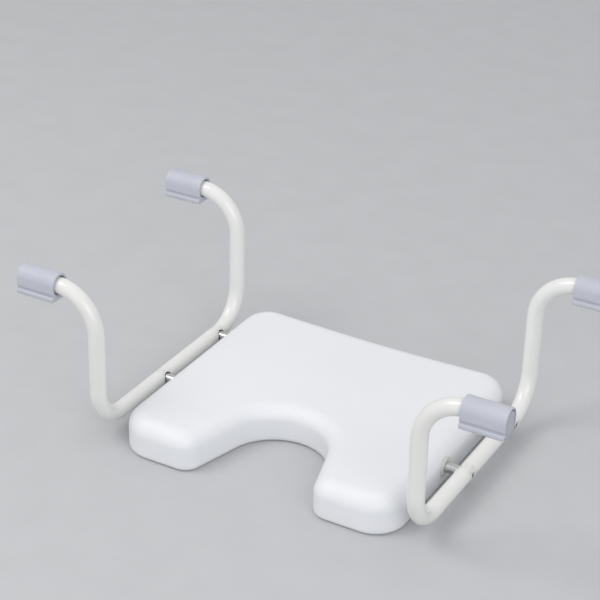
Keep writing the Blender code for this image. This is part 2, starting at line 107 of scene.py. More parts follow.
class Wire:
    """A socket of a node graph that answers to arithmetic."""

    def __init__(self, graph: "Graph", socket: bpy.types.NodeSocket) -> None:
        """Wrap a socket.

        Args:
            graph: graph the socket belongs to.
            socket: output socket of one of its nodes.
        """
        self.graph = graph
        self.socket = socket

    def _math(self, operation: str, *values: "Wire | float") -> "Wire":
        """Return the result of a Math node."""
        return self.graph.node("ShaderNodeMath", {"operation": operation}, dict(enumerate(values)))

    def __add__(self, other: "Wire | float") -> "Wire":
        """Sum."""
        return self._math("ADD", self, other)

    __radd__ = __add__

    def __sub__(self, other: "Wire | float") -> "Wire":
        """Difference."""
        return self._math("SUBTRACT", self, other)

    def __mul__(self, other: "Wire | float") -> "Wire":
        """Product."""
        return self._math("MULTIPLY", self, other)

    def __pow__(self, power: float) -> "Wire":
        """Power."""
        return self._math("POWER", self, power)

    def over(self, low: float, high: float) -> "Wire":
        """Return a smooth 0 to 1 step as the value passes from low to high.

        Args:
            low: value where the step starts.
            high: value where the step ends; below low for a falling step.

        Returns:
            The step, clamped.
        """
        rising = low < high
        start, end = (low, high) if rising else (high, low)
        sockets = {0: self, 1: start, 2: end, 3: float(not rising), 4: float(rising)}
        return self.graph.node("ShaderNodeMapRange", {"interpolation_type": "SMOOTHSTEP"}, sockets)


class Graph:
    """A shader or geometry node tree under construction."""

    def __init__(self, tree: bpy.types.NodeTree) -> None:
        """Start on an empty tree.

        Args:
            tree: tree to fill; its nodes are cleared.
        """
        self.tree = tree
        tree.nodes.clear()

    def node(self, kind: str, settings: dict | None = None, sockets: dict | None = None,
             output: int | str = 0) -> Wire:
        """Add a node, set it up and link it.

        Args:
            kind: node type identifier.
            settings: node properties.
            sockets: input index or name to a value or a Wire.
            output: output that the returned wire carries.

        Returns:
            The chosen output.
        """
        made = self.tree.nodes.new(kind)
        for key, value in (settings or {}).items():
            setattr(made, key, value)
        for key, value in (sockets or {}).items():
            if isinstance(value, Wire):
                self.tree.links.new(value.socket, made.inputs[key])
            else:
                made.inputs[key].default_value = value
        return Wire(self, made.outputs[output]) if made.outputs else Wire(self, None)

    def axes(self, vector: Wire) -> tuple[Wire, Wire, Wire]:
        """Split a vector wire into its three parts."""
        first = self.node("ShaderNodeSeparateXYZ", None, {0: vector})
        return tuple(Wire(self, socket) for socket in first.socket.node.outputs)

    def blend(self, share: Wire | float, plain: Colour | Wire, other: Colour | Wire) -> Wire:
        """Mix two colours.

        Args:
            share: 0 gives plain, 1 gives other.
            plain: first colour.
            other: second colour.

        Returns:
            The mixed colour.
        """
        pair = [c if isinstance(c, Wire) else (*c, 1.0) for c in (plain, other)]
        return self.node("ShaderNodeMix", {"data_type": "RGBA"},
                         {0: share, 6: pair[0], 7: pair[1]}, 2)

    def noise(self, place: Wire, scale: float, detail: float = 3.0, roughness: float = 0.5,
              stretch: tuple[float, float, float] = (1, 1, 1)) -> Wire:
        """Return a noise value around 0.5.

        Args:
            place: coordinates in metres.
            scale: features per metre.
            detail: octaves.
            roughness: weight of the finer octaves.
            stretch: scale of each axis before the noise, for brushed or drawn grain.

        Returns:
            The noise.
        """
        if stretch != (1, 1, 1):
            place = self.node("ShaderNodeMapping", None, {"Vector": place, "Scale": stretch})
        return self.node("ShaderNodeTexNoise", None,
                         {"Vector": place, "Scale": scale, "Detail": detail, "Roughness": roughness})


class RepeatTree(Graph):
    """A Geometry Nodes tree with named inputs that ends in real, finished geometry."""

    def __init__(self, name: str) -> None:
        """Start a tree whose first input is the carrier's geometry.

        Args:
            name: tree name.
        """
        super().__init__(bpy.data.node_groups.new(name, 'GeometryNodeTree'))
        self.tree.interface.new_socket("Carrier", in_out='INPUT', socket_type='NodeSocketGeometry')
        self.tree.interface.new_socket("Piece", in_out='OUTPUT', socket_type='NodeSocketGeometry')
        self.entry = self.tree.nodes.new("NodeGroupInput")
        self.carrier = Wire(self, self.entry.outputs[0])
        self.keys: dict[str, str] = {}

    def given(self, name: str, kind: str = "NodeSocketFloat") -> Wire:
        """Add a named input.

        Args:
            name: input name.
            kind: socket type.

        Returns:
            The input as a wire.
        """
        item = self.tree.interface.new_socket(name, in_out='INPUT', socket_type=kind)
        self.keys[name] = item.identifier
        return Wire(self, next(s for s in self.entry.outputs if s.identifier == item.identifier))

    def close(self, geometry: Wire) -> "RepeatTree":
        """End the tree by realising instances and setting the finish.

        Args:
            geometry: what the tree makes.

        Returns:
            The tree itself.
        """
        finish = self.given("Finish", "NodeSocketMaterial")
        real = self.node("GeometryNodeRealizeInstances", None, {"Geometry": geometry})
        made = self.node("GeometryNodeSetMaterial", None, {"Geometry": real, "Material": finish})
        self.node("NodeGroupOutput", None, {0: made})
        return self

    def scatter(self, geometry: Wire) -> "RepeatTree":
        """End the tree with the geometry set at every point of the carrier."""
        return self.close(self.node("GeometryNodeInstanceOnPoints", None,
                                    {"Points": self.carrier, "Instance": geometry}))

    def run(self, name: str, points: Sequence, finish: "Finish | None" = None, path: bool = False,
            **sizes: float | bpy.types.Object) -> bpy.types.Object:
        """Make one piece from the tree.

        Args:
            name: piece name.
            points: vertices the tree starts from.
            finish: finish that Set Material puts on.
            path: join the points in order, for a tree that follows a path.
            sizes: value of each named input.

        Returns:
            The piece as a plain mesh.
        """
        edges = [(k, k + 1) for k in range(len(points) - 1)] if path else []
        mesh = bpy.data.meshes.new(name)
        mesh.from_pydata([tuple(p) for p in points], edges, [])
        thing = bpy.data.objects.new(name, mesh)
        bpy.context.scene.collection.objects.link(thing)
        step = thing.modifiers.new(name, 'NODES')
        step.node_group = self.tree
        if finish:
            step[self.keys["Finish"]] = finish.material
        for key, value in sizes.items():
            step[self.keys[key]] = value
        settle(thing)
        close_seams(thing)
        return thing


def sweep_tree() -> RepeatTree:
    """Make the tree that sweeps a round section along a path, ends closed.

    Returns:
        The tree.
    """
    tree = RepeatTree("sweep_round_section")
    line = tree.node("GeometryNodeMeshToCurve", None, {"Mesh": tree.carrier})
    ring = tree.node("GeometryNodeCurvePrimitiveCircle", None,
                     {"Resolution": tree.given("Sides", "NodeSocketInt"),
                      "Radius": tree.given("Radius")})
    return tree.close(tree.node("GeometryNodeCurveToMesh", None,
                                {"Curve": line, "Profile Curve": ring, "Fill Caps": True}))


def copies_tree() -> RepeatTree:
    """Make the tree that sets a copy of a pattern piece at every point.

    Returns:
        The tree.
    """
    tree = RepeatTree("copies_of_a_pattern")
    pattern = tree.node("GeometryNodeObjectInfo", None,
                        {"Object": tree.given("Pattern", "NodeSocketObject")}, "Geometry")
    return tree.scatter(pattern)


def bars_tree() -> RepeatTree:
    """Make the tree that lays a round bar across at every point.

    Returns:
        The tree.
    """
    tree = RepeatTree("row_of_bars")
    half = tree.given("Length") * 0.5
    ends = [tree.node("ShaderNodeCombineXYZ", None, {1: half * sign}) for sign in (-1.0, 1.0)]
    line = tree.node("GeometryNodeCurvePrimitiveLine", None, {"Start": ends[0], "End": ends[1]})
    ring = tree.node("GeometryNodeCurvePrimitiveCircle", None,
                     {"Resolution": BAR_SIDES, "Radius": tree.given("Radius")})
    return tree.scatter(tree.node("GeometryNodeCurveToMesh", None,
                                  {"Curve": line, "Profile Curve": ring, "Fill Caps": True}))


def pockets_tree() -> RepeatTree:
    """Make the tree that sets a round-cornered square block at every point, as a cutter.

    Returns:
        The tree.
    """
    tree = RepeatTree("grid_of_pockets")
    size, corner, depth = (tree.given(name) for name in ("Size", "Corner", "Depth"))
    square = tree.node("GeometryNodeCurvePrimitiveQuadrilateral", None,
                       {"Width": size, "Height": size})
    soft = tree.node("GeometryNodeFilletCurve", {"mode": 'POLY'},
                     {"Curve": square, "Radius": corner, "Count": CORNER_STEPS})
    face = tree.node("GeometryNodeFillCurve", {"mode": 'NGONS'}, {"Curve": soft})
    lift = tree.node("ShaderNodeCombineXYZ", None, {2: depth})
    block = tree.node("GeometryNodeExtrudeMesh", None,
                      {"Mesh": face, "Offset": lift, "Offset Scale": 1.0, "Individual": False})
    under = tree.node("GeometryNodeFlipFaces", None, {"Mesh": face})
    both = tree.node("GeometryNodeJoinGeometry", None, {"Geometry": block})
    tree.tree.links.new(under.socket, both.socket.node.inputs["Geometry"])
    return tree.scatter(tree.node("GeometryNodeMergeByDistance", None,
                                  {"Geometry": both, "Distance": SEAM_WIDTH}))


# ------------------------------------------------------------------- finishes


@dataclass(frozen=True)
class Finish:
    """A surface finish: colour, gloss and the fine relief on it."""

    name: str
    colour: Colour
    roughness: float = 0.4
    metallic: float = 0.0
    grain: float = 900.0
    relief: float = 0.05 * MM
    extras: dict = field(default_factory=dict)

    @cached_property
    def material(self) -> bpy.types.Material:
        """Build the finish's material when it is first asked for.

        Returns:
            The material, its Principled shader fed by the varying parts of the finish.
        """
        material = bpy.data.materials.new(self.name)
        material.use_nodes = True
        graph = Graph(material.node_tree)
        place = graph.node("ShaderNodeTexCoord", None, None, "Object")
        colour, roughness, height = self.surface(graph, place)
        bump = graph.node("ShaderNodeBump", None,
                          {"Strength": 1.0, "Distance": self.relief, "Height": height})
        shader = graph.node("ShaderNodeBsdfPrincipled", None,
                            {"Base Color": colour, "Roughness": roughness, "Metallic": self.metallic,
                             "Normal": bump, **self.extras})
        graph.node("ShaderNodeOutputMaterial", None, {"Surface": shader})
        material.diffuse_color = (*self.colour, 1.0)
        return material

    def surface(self, graph: Graph, place: Wire) -> tuple[Wire, Wire, Wire]:
        """Work out the look of the surface.

        Args:
            graph: graph to add to.
            place: object coordinates.

        Returns:
            Colour, roughness and relief height.
        """
        broad = graph.noise(place, 14.0, 3.0)
        fine = graph.noise(place, self.grain, 2.0)
        colour = graph.blend(broad.over(0.3, 0.7) * 0.35, self.colour, self.tinted(0.93))
        return colour, self.roughness + (broad - 0.5) * 0.12 + (fine - 0.5) * 0.06, fine

    def tinted(self, share: float, warm: float = 0.0) -> Colour:
        """Return the colour scaled, and warmed by taking from blue.

        Args:
            share: factor on all three channels.
            warm: share taken from blue.

        Returns:
            The new colour.
        """
        red, green, blue = self.colour
        return red * share, green * share, blue * share * (1 - warm)


@dataclass(frozen=True)
class MouldedSkin(Finish):
    """Satin moulded plastic with a fine pebble and faint rub marks."""

    def surface(self, graph: Graph, place: Wire) -> tuple[Wire, Wire, Wire]:
        """Work out the look of the pebbled skin.

        Args:
            graph: graph to add to.
            place: object coordinates.

        Returns:
            Colour, roughness and relief height.
        """
        cloud = graph.noise(place, 9.0, 4.0)
        pebble = graph.node("ShaderNodeTexVoronoi", {"feature": "SMOOTH_F1"},
                            {"Vector": place, "Scale": self.grain, "Smoothness": 0.6})
        grit = graph.noise(place, self.grain * 2.2, 2.0)
        rubs = graph.noise(place, 6.0, 6.0, 0.7, (14, 1, 14)).over(0.56, 0.72)
        swirl = graph.noise(place, 5.0, 6.0, 0.7, (1, 16, 6)).over(0.58, 0.74)
        colour = graph.blend(cloud.over(0.3, 0.75) * 0.5, self.colour, self.tinted(0.96, 0.012))
        colour = graph.blend((rubs + swirl) * 0.10, colour, self.tinted(0.86, 0.02))
        wear = swirl * 0.04 - rubs * 0.05
        roughness = self.roughness + (cloud - 0.5) * 0.10 + wear + (grit - 0.5) * 0.05
        return colour, roughness, pebble * 0.75 + grit * 0.35 - rubs * 0.12


@dataclass(frozen=True)
class EpoxyCoat(Finish):
    """Gloss epoxy on steel tube: orange peel, and a dull ring where each rod passes the rail."""

    ring_y: tuple[float, ...] = ()
    ring_z: float = 0.0
    ring_inner: float = 9.5 * MM
    ring_outer: float = 17 * MM

    def surface(self, graph: Graph, place: Wire) -> tuple[Wire, Wire, Wire]:
        """Work out the look of the coat.

        Args:
            graph: graph to add to.
            place: object coordinates.

        Returns:
            Colour, roughness and relief height.
        """
        peel = graph.noise(place, self.grain, 2.0, 0.4)
        cloud = graph.noise(place, 7.0, 3.0)
        speck = graph.noise(place, 260.0, 1.0).over(0.76, 0.80)
        _, y, z = graph.axes(place)
        halo: Wire | float = 0.0
        for ring in self.ring_y:
            away = ((y - ring) ** 2.0 + (z - self.ring_z) ** 2.0) ** 0.5
            halo = away.over(self.ring_outer, self.ring_inner) + halo
        worn = halo * graph.noise(place, 190.0, 4.0).over(0.38, 0.62)
        colour = graph.blend(cloud.over(0.35, 0.7) * 0.6, self.colour, self.tinted(0.98, 0.03))
        colour = graph.blend(worn * 0.45 + speck * 0.25, colour, (0.42, 0.41, 0.38))
        return colour, self.roughness + (cloud - 0.5) * 0.08 + worn * 0.25, peel - speck * 0.8


@dataclass(frozen=True)
class GripRubber(Finish):
    """Soft satin rubber with a matt eroded grain and scuffs along the lip."""

    foot_z: float = 0.0

    def surface(self, graph: Graph, place: Wire) -> tuple[Wire, Wire, Wire]:
        """Work out the look of the rubber.

        Args:
            graph: graph to add to.
            place: object coordinates.

        Returns:
            Colour, roughness and relief height.
        """
        cloud = graph.noise(place, 26.0, 4.0)
        erode = graph.noise(place, self.grain, 3.0, 0.6)
        drag = graph.noise(place, 30.0, 4.0, 0.6, (1, 8, 8)).over(0.54, 0.70)
        _, _, z = graph.axes(place)
        lip = (z - self.foot_z).over(9 * MM, 2 * MM)
        grime = lip * graph.noise(place, 120.0, 4.0).over(0.45, 0.65)
        colour = graph.blend(cloud.over(0.3, 0.7) * 0.6, self.colour, self.tinted(0.93, -0.02))
        colour = graph.blend(grime * 0.30, colour, self.tinted(0.62, 0.08))
        colour = graph.blend(drag * 0.12, colour, self.tinted(1.12))
        roughness = self.roughness + (cloud - 0.5) * 0.12 - drag * 0.06 + grime * 0.1
        return colour, roughness, erode + cloud * 0.4


@dataclass(frozen=True)
class SpeckledPanel(Finish):
    """Fine dark and pale specks over a plain plastic, as on a spark-eroded panel."""

    def surface(self, graph: Graph, place: Wire) -> tuple[Wire, Wire, Wire]:
        """Work out the look of the panel.

        Args:
            graph: graph to add to.
            place: object coordinates.

        Returns:
            Colour, roughness and relief height.
        """
        dark = graph.noise(place, self.grain, 2.0, 0.6).over(0.55, 0.66)
        pale = graph.noise(place, self.grain * 1.3, 1.0).over(0.60, 0.68)
        cloud = graph.noise(place, 60.0, 3.0)
        colour = graph.blend(dark * 0.55, self.colour, self.tinted(0.62))
        colour = graph.blend(pale * 0.35, colour, self.tinted(1.3))
        return colour, self.roughness + (cloud - 0.5) * 0.1 + dark * 0.08, dark * -0.6 + pale * 0.4


@dataclass(frozen=True)
class DrawnMetal(Finish):
    """Metal with drawn lines along X, or turned rings when the lines run across."""

    stretch: tuple[float, float, float] = (1, 30, 30)

    def surface(self, graph: Graph, place: Wire) -> tuple[Wire, Wire, Wire]:
        """Work out the look of the metal.

        Args:
            graph: graph to add to.
            place: object coordinates.

        Returns:
            Colour, roughness and relief height.
        """
        lines = graph.noise(place, self.grain, 3.0, 0.6, self.stretch)
        haze = graph.noise(place, 45.0, 4.0)
        spots = graph.noise(place, 420.0, 2.0).over(0.70, 0.78)
        colour = graph.blend(haze.over(0.35, 0.75) * 0.5, self.colour, self.tinted(0.88, 0.03))
        colour = graph.blend(spots * 0.5, colour, self.tinted(0.55, 0.15))
        return colour, self.roughness + (haze - 0.5) * 0.12 + lines * 0.05 + spots * 0.25, lines


SEAT_WHITE = MouldedSkin("seat_white_moulding", (0.80, 0.81, 0.835), 0.52, grain=620.0,
                         relief=0.06 * MM, extras={"IOR": 1.46})
UNDERSIDE_GREY = MouldedSkin("underside_grey_moulding", (0.55, 0.57, 0.61), 0.52, grain=480.0,
                             relief=0.06 * MM)
KNOB_GREY = MouldedSkin("knob_grey_moulding", (0.16, 0.18, 0.22), 0.42, grain=700.0)
NYLON_NATURAL = MouldedSkin("natural_nylon", (0.66, 0.66, 0.62), 0.40, relief=0.03 * MM,
                            extras={"Subsurface Weight": 0.1, "Subsurface Scale": 4 * MM})
# Near-black plate in the gap round each grip's end panel: painted shade for that gap, not a real
# seal.
GAP_SHADE_GREY = MouldedSkin("grip_end_seal", (0.13, 0.135, 0.15), 0.60, grain=700.0, relief=0.03 * MM)
PANEL_GREY = SpeckledPanel("grip_end_panel", (0.45, 0.455, 0.49), 0.62, grain=1100.0,
                           relief=0.08 * MM)
GRIP_GREY = GripRubber("grip_rubber", (0.515, 0.53, 0.585), 0.52, relief=0.07 * MM,
                       foot_z=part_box("rim_grip_left_front")[0].z)
WHITE_EPOXY = EpoxyCoat("gloss_epoxy", (0.795, 0.792, 0.775), 0.20, grain=380.0, relief=0.02 * MM,
                        ring_y=tuple(middle(f"slide_rod_left_{end.word}").y for end in End),
                        ring_z=middle("slide_rod_left_front").z,
                        extras={"Coat Weight": 0.3, "Coat Roughness": 0.08})
ROD_CHROME = DrawnMetal("polished_rod", (0.60, 0.60, 0.61), 0.20, 1.0, grain=60.0,
                        relief=0.004 * MM)
SCREW_STEEL = DrawnMetal("screw_steel", (0.62, 0.61, 0.60), 0.24, 1.0, grain=300.0,
                         relief=0.01 * MM, stretch=(20, 1, 1))
GUIDE_STEEL = DrawnMetal("guide_tube_steel", (0.55, 0.55, 0.55), 0.32, 1.0, grain=80.0,
                         relief=0.01 * MM)
INSERT_BRASS = DrawnMetal("insert_brass", (0.72, 0.52, 0.24), 0.28, 1.0, grain=400.0,
                          relief=0.01 * MM, stretch=(1, 1, 12))
FLOOR_GREY = Finish("pale_floor", (0.53, 0.54, 0.55), 0.85, grain=60.0, relief=0.2 * MM)


# --------------------------------------------------------------- mesh helpers


def new_mesh(name: str, points: Sequence, faces: Sequence[Sequence[int]],
             tidy: bool = True) -> bpy.types.Object:
    """Make a mesh object in world coordinates.

    Args:
        name: object and mesh name.
        points: vertices in metres.
        faces: vertex indices of each face.
        tidy: merge doubles and turn the faces outwards.

    Returns:
        The object, linked to the scene.
    """
    mesh = bpy.data.meshes.new(name)
    mesh.from_pydata([tuple(p) for p in points], [], [tuple(f) for f in faces])
    thing = bpy.data.objects.new(name, mesh)
    bpy.context.scene.collection.objects.link(thing)
    if tidy:
        close_seams(thing)
    return thing


def soften(thing: bpy.types.Object, angle: float) -> None:
    """Shade a piece smooth and keep edges sharper than an angle crisp.

    Args:
        thing: mesh object.
        angle: sharpest angle still shaded smooth, in degrees.
    """
    mesh = thing.data
    mesh.polygons.foreach_set("use_smooth", [True] * len(mesh.polygons))
    work = bmesh.new()
    work.from_mesh(mesh)
    limit = math.radians(angle)
    for edge in work.edges:
        edge.smooth = not (edge.is_manifold and edge.calc_face_angle(0.0) > limit)
    work.to_mesh(mesh)
    work.free()


def bands(rings: int, count: int) -> list[tuple[int, ...]]:
    """Return the faces between rings of vertices that are listed one after another.

    Args:
        rings: how many rings.
        count: vertices in each.

    Returns:
        Vertex indices of each face.
    """
    return [(r * count + k, (r + 1) * count + k, (r + 1) * count + (k + 1) % count,
             r * count + (k + 1) % count) for r in range(rings - 1) for k in range(count)]


def lathe(name: str, points: Sequence[tuple], origin: Vector, axis: Vector, sides: int = 48,
          lobes: int = 0) -> bpy.types.Object:
    """Turn a closed profile about an axis.

    Args:
        name: object name.
        points: radius, height along the axis and lobe height if any; closed, or ends on the axis.
        origin: point on the axis at height 0.
        axis: direction of the axis.
        sides: facets around.
        lobes: how many lobes stand around the rim.

    Returns:
        The object.
    """
    turn = UP.rotation_difference(axis).to_matrix()
    places: list = []
    faces: list = []
    count = len(points)
    for step in range(sides):
        angle = 2 * math.pi * step / sides
        for radius, height, *lobe in points:
            radius += lobe[0] * math.cos(lobes * angle) if lobe else 0.0
            local = Vector((radius * math.cos(angle), radius * math.sin(angle), height))
            places.append(origin + turn @ local)
        here, after = step * count, (step + 1) % sides * count
        faces += [(here + k, here + k + 1, after + k + 1, after + k) for k in range(count - 1)]
    return new_mesh(name, places, faces)


def drum(name: str, radius: float, length: float, origin: Vector, axis: Vector,
         sides: int = 48) -> bpy.types.Object:
    """Return a plain round cutter; see lathe for the arguments."""
    return lathe(name, [(0, 0), (radius, 0), (radius, length), (0, length)], origin, axis, sides)


def repeat(name: str, pattern: bpy.types.Object, places: Sequence[Vector],
           finish: Finish | None = None) -> bpy.types.Object:
    """Set copies of a pattern at several places, as one piece, and remove the pattern.

    Args:
        name: piece name.
        pattern: what is copied.
        places: where the copies stand.
        finish: their finish, if they aren't a cutter.

    Returns:
        The piece.
    """
    piece = copies_tree().run(name, places, finish, Pattern=pattern)
    bpy.data.objects.remove(pattern, do_unlink=True)
    return piece


def rounded(points: Sequence[tuple[float, float]], radii: Sequence[float], steps: int = 4) -> list:
    """Round the corners of an open profile.

    Args:
        points: profile points.
        radii: corner radius at each point; 0 leaves it sharp.
        steps: points per rounded corner.

    Returns:
        The profile with its corners rounded.
    """
    out: list = []
    for k, (here, radius) in enumerate(zip(points, radii)):
        if radius <= 0 or k in (0, len(points) - 1):
            out.append(here)
            continue
        corner = Vector(here)
        back = Vector(points[k - 1]) - corner
        ahead = Vector(points[k + 1]) - corner
        run = radius / math.tan(back.angle(ahead) / 2)
        start = corner + back.normalized() * min(run, back.length * 0.49)
        end = corner + ahead.normalized() * min(run, ahead.length * 0.49)
        for step in range(steps + 1):
            t = step / steps
            curve = start * (1 - t) ** 2 + corner * 2 * t * (1 - t) + end * t ** 2
            out.append((curve.x, curve.y))
    return out


def cut(thing: bpy.types.Object, tools: Sequence[bpy.types.Object],
        operation: str = 'DIFFERENCE') -> None:
    """Apply Boolean tools to a piece and remove them.

    Args:
        thing: piece to change.
        tools: cutters, used in order.
        operation: Boolean operation.
    """
    for tool in tools:
        step = thing.modifiers.new("cut", 'BOOLEAN')
        step.operation = operation
        step.solver = 'EXACT'
        step.object = tool
    settle(thing)
    for tool in tools:
        bpy.data.objects.remove(tool, do_unlink=True)


def settle(thing: bpy.types.Object) -> None:
    """Bake a piece's modifiers into its mesh.

    Args:
        thing: the piece.
    """
    bpy.context.view_layer.update()
    shown = thing.evaluated_get(bpy.context.evaluated_depsgraph_get())
    baked = bpy.data.meshes.new_from_object(shown)
    baked.name = thing.name
    thing.modifiers.clear()
    thing.data = baked


def close_seams(thing: bpy.types.Object) -> None:
    """Merge a piece's doubled vertices and turn its faces outwards.

    Args:
        thing: the piece.
    """
    work = bmesh.new()
    work.from_mesh(thing.data)
    bmesh.ops.remove_doubles(work, verts=work.verts, dist=WELD_WIDTH)
    bmesh.ops.recalc_face_normals(work, faces=work.faces)
    work.to_mesh(thing.data)
    work.free()


def hand_in(thing: bpy.types.Object, angle: float, body: str, finish: Finish,
            nodes: Sequence[str] = ()) -> None:
    """Give a finished piece its shading and material, put it on its body, and hide the CAD nodes it
    stands for.

    Args:
        thing: finished piece at the origin.
        angle: sharpest edge still shaded smooth, in degrees.
        body: CAD body it rides on.
        finish: its finish.
        nodes: CAD nodes it replaces.
    """
    soften(thing, angle)
    thing.data.materials.clear()
    thing.data.materials.append(finish.material)
    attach(thing, body)
    if nodes:
        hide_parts(*nodes)
    log.info("%s: %d faces on %s", thing.name, len(thing.data.polygons), body)


# ----------------------------------------------------------------- assemblies


@dataclass
class Seat:
    """The moulded horseshoe seat, hollow and open below."""

    rounding: float = 26 * MM
    wall: float = 4 * MM
    dish: float = 5 * MM
    back_corner: float = 45 * MM
    front_corner: float = 50 * MM
    horn_corner: float = 28 * MM
    horn_x: float = 123 * MM
    cutout_radius: float = 78 * MM
    cutout_y: float = -127 * MM
    flare: float = 17.0
    foot_rounding: float = 8 * MM
    foot_lip: float = 11.5 * MM
    lip_height: float = 7.7 * MM
    bush_hole: float = 12.3 * MM
    bush_hole_start: float = 205 * MM
    bush_hole_depth: float = 30 * MM
    arc_step: float = 5 * MM
    spacing: float = 8 * MM
    grid: float = 10 * MM
    grid_margin: float = 0.55
    crown_loss: float = 0.2 * MM

    def __post_init__(self) -> None:
        """Read the outer sizes from the frame."""
        self.low, self.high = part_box("seat_shell")
        self.half = self.high.x
        self.top = self.high.z + self.crown_loss

    def outline(self) -> np.ndarray:
        """Return the plan of the flat top, inside the rounding.

        Returns:
            Rows of x, y and the outward normal's x, y, anticlockwise.
        """
        front_y = self.low.y + self.front_corner
        horn_y = self.low.y + self.horn_corner
        back = (self.half - self.back_corner, self.high.y - self.back_corner)
        front = (self.half - self.front_corner, front_y)
        arcs = [(front, self.front_corner, -90, 0, 1), (back, self.back_corner, 0, 90, 1),
                ((-back[0], back[1]), self.back_corner, 90, 180, 1),
                ((-front[0], front_y), self.front_corner, 180, 270, 1),
                ((-self.horn_x, horn_y), self.horn_corner, 270, 360 - self.flare, 1),
                ((0.0, self.cutout_y), self.cutout_radius, 180 - self.flare, self.flare, -1),
                ((self.horn_x, horn_y), self.horn_corner, 180 + self.flare, 270, 1)]
        rows: list = []
        for centre, radius, start, end, sense in arcs:
            inner = radius - sense * self.rounding
            steps = max(10, int(abs(math.radians(end - start)) * radius / self.arc_step))
            for k in range(steps + 1):
                angle = math.radians(start + (end - start) * k / steps)
                way = (math.cos(angle), math.sin(angle))
                rows.append((centre[0] + inner * way[0], centre[1] + inner * way[1],
                             sense * way[0], sense * way[1]))
        filled: list = []
        for k, row in enumerate(rows):
            after = rows[(k + 1) % len(rows)]
            gap = math.hypot(after[0] - row[0], after[1] - row[1])
            parts = max(1, int(gap / self.spacing))
            for step in range(parts):
                t = step / parts
                filled.append([a + (b - a) * t for a, b in zip(row, after)])
        return np.array(filled)

    def sink(self, x: float, z: float) -> float:
        """Return how far a point sinks to form the shallow dish.

        Args:
            x: distance across the seat.
            z: height before sinking.

        Returns:
            The drop in metres.
        """
        share = min(1.0, max(0.0, (z - self.top + self.rounding) / self.rounding))
        return self.dish * share * (1 - min(1.0, abs(x) / self.half) ** 2) ** 2

    def cap(self, plan: np.ndarray) -> tuple[list, list]:
        """Fill the flat top with small triangles.

        Args:
            plan: outline rows.

        Returns:
            Plan points, boundary first, and triangles.
        """
        edge = [Vector(row[:2]) for row in plan]
        count = len(edge)
        inside: list[Vector] = []
        ring = plan[:, :2]
        x = -self.half
        while x < self.half:
            y = self.low.y
            while y < self.high.y:
                if self.holds(ring, x, y, self.grid_margin * self.grid):
                    inside.append(Vector((x, y)))
                y += self.grid
            x += self.grid
        loops = [(k, (k + 1) % count) for k in range(count)]
        found = geometry.delaunay_2d_cdt(edge + inside, loops, [], 1, 1e-6)
        return [tuple(v) for v in found[0]], [tuple(f) for f in found[2]]

    def holds(self, ring: np.ndarray, x: float, y: float, margin: float) -> bool:
        """Tell whether a plan point lies inside an outline and clear of it.

        Args:
            ring: outline, rows of x and y.
            x: point across.
            y: point along.
            margin: least distance from the outline.

        Returns:
            True where it does.
        """
        if np.min(np.hypot(ring[:, 0] - x, ring[:, 1] - y)) < margin:
            return False
        ahead = np.roll(ring, -1, axis=0)
        crosses = (ring[:, 1] > y) != (ahead[:, 1] > y)
        rise = np.where(crosses, ahead[:, 1] - ring[:, 1], 1.0)
        where = ring[:, 0] + (y - ring[:, 1]) * (ahead[:, 0] - ring[:, 0]) / rise
        return bool(np.sum(crosses & (x < where)) % 2)

    def profile(self) -> list[tuple[float, float]]:
        """Draw the side profile, from the flat top round to the roof of the hollow.

        Returns:
            Points: how far out from the flat top's edge, and height.
        """
        full, foot, lip = self.rounding, self.foot_rounding, self.rounding - self.foot_lip
        rows = [(full * math.cos(a), self.top - full + full * math.sin(a))
                for a in np.linspace(math.pi / 2, 0, 17)]
        rows += [(full, z) for z in np.linspace(self.top - full, foot, 5)[1:]]
        rows += [(full - foot * (1 - math.cos(a)), foot * (1 - math.sin(a)))
                 for a in np.linspace(0, math.pi / 2, 9)[1:]]
        inner = full - self.wall
        rows += [(lip + 0.4 * MM, 0.0), (lip, 0.4 * MM), (lip, self.lip_height),
                 (inner, self.lip_height), (inner, self.top - full)]
        rows += [(inner * math.cos(a), self.top - full + inner * math.sin(a))
                 for a in np.linspace(0, math.pi / 2, 5)[1:]]
        return rows

    def shell(self) -> None:
        """Build the moulding."""
        plan = self.outline()
        rows = self.profile()
        places: list = []
        for out, z in rows:
            for x, y, nx, ny in plan:
                px, py = x + nx * out, y + ny * out
                places.append((px, py, z - self.sink(px, z)))
        faces = bands(len(rows), len(plan))
        flat, triangles = self.cap(plan)
        for height in (self.top, self.top - self.wall):
            first = len(places)
            places += [(x, y, height - self.sink(x, height)) for x, y in flat]
            faces += [tuple(first + k for k in triangle) for triangle in triangles]
        moulding = new_mesh("seat_moulding", places, faces)
        tools = []
        for side in Side:
            for end in End:
                centre = middle(f"guide_bush_{side.word}_{end.word}")
                start = Vector((side.value * self.bush_hole_start, centre.y, centre.z))
                tools.append(drum("bush_hole", self.bush_hole, self.bush_hole_depth, start,
                                  side.out))
        cut(moulding, tools)
        hand_in(moulding, 40, "seat", SEAT_WHITE, ["seat_shell"])


